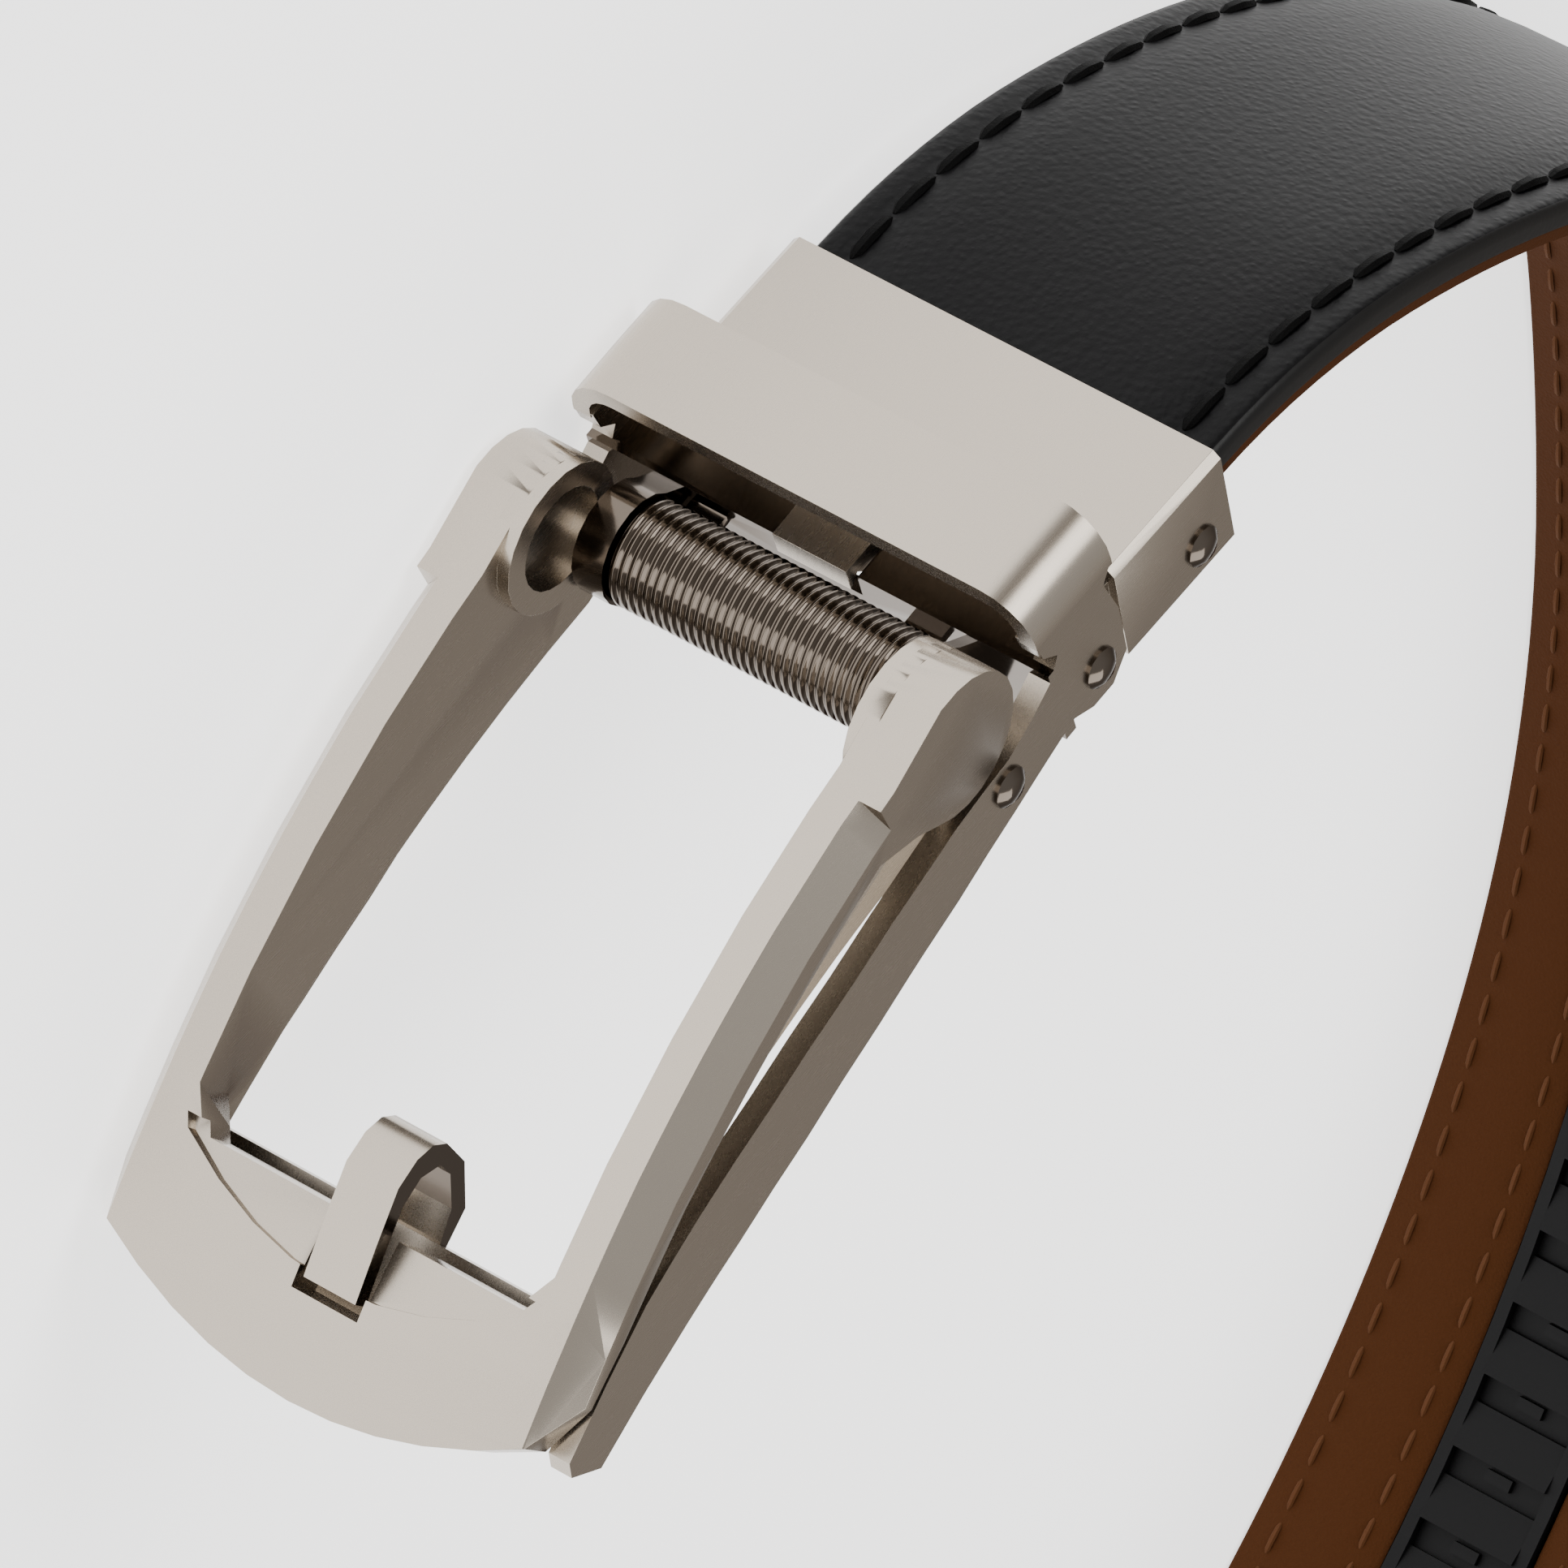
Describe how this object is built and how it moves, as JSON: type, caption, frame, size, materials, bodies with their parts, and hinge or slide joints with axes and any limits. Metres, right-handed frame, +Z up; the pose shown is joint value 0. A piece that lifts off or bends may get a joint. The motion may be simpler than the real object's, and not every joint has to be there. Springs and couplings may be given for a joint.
{
  "type": "ratchet belt",
  "caption": "Leather strap belt with a satin metal open-frame ratchet buckle, standing on its edge in a loop.",
  "frame": {"origin": "bottom centre of the bounding box, on the floor the strap's edge stands on", "axes": "+Z up across the strap's width, +X from the clamp towards the buckle's tip, -Y the buckle's front"},
  "size_m": [0.4888, 0.3094, 0.0416],
  "materials": {
    "black_leather": "fine pebble grain, semi-matt",
    "brown_lining": "matt suede",
    "black_track": "moulded, semi-matt",
    "satin_nickel": "satin brushed face with polished edges",
    "bright_steel": "polished"
  },
  "bodies": {
    "strap": {"strap_face": "black_leather", "strap_lining": "brown_lining", "track": "black_track", "clamp": "satin_nickel", "jaw_pin": "bright_steel"},
    "jaw": {"clamp_jaw": "bright_steel"},
    "buckle": {"buckle_body": "satin_nickel", "swing_pin": "bright_steel", "rivet_low": "bright_steel", "rivet_high": "bright_steel", "ribbed_bar": "bright_steel"},
    "pawl": {"pawl": "bright_steel"},
    "frame": {"front_frame": "satin_nickel"}
  },
  "joints": [
    {"name": "jaw_open", "type": "hinge", "parent": "strap", "child": "jaw", "pos_m": [-0.16303, -0.14, 0.0208], "axis": [0, 0, 1], "range_deg": [0, 90]},
    {"name": "buckle_swing", "type": "hinge", "parent": "strap", "child": "buckle", "pos_m": [-0.14978, -0.14204, 0.0208], "axis": [0, 0, 1], "range_deg": [-4, 12]},
    {"name": "pawl_swing", "type": "hinge", "parent": "buckle", "child": "pawl", "pos_m": [-0.14978, -0.14204, 0.0208], "axis": [0, 0, 1], "range_deg": [0, 6], "stiffness_Nm_per_rad": 0.02},
    {"name": "frame_lift", "type": "hinge", "parent": "buckle", "child": "frame", "pos_m": [-0.13954, -0.14506, 0.0208], "axis": [0, 0, -1], "range_deg": [0, 30], "stiffness_Nm_per_rad": 0.05}
  ]
}
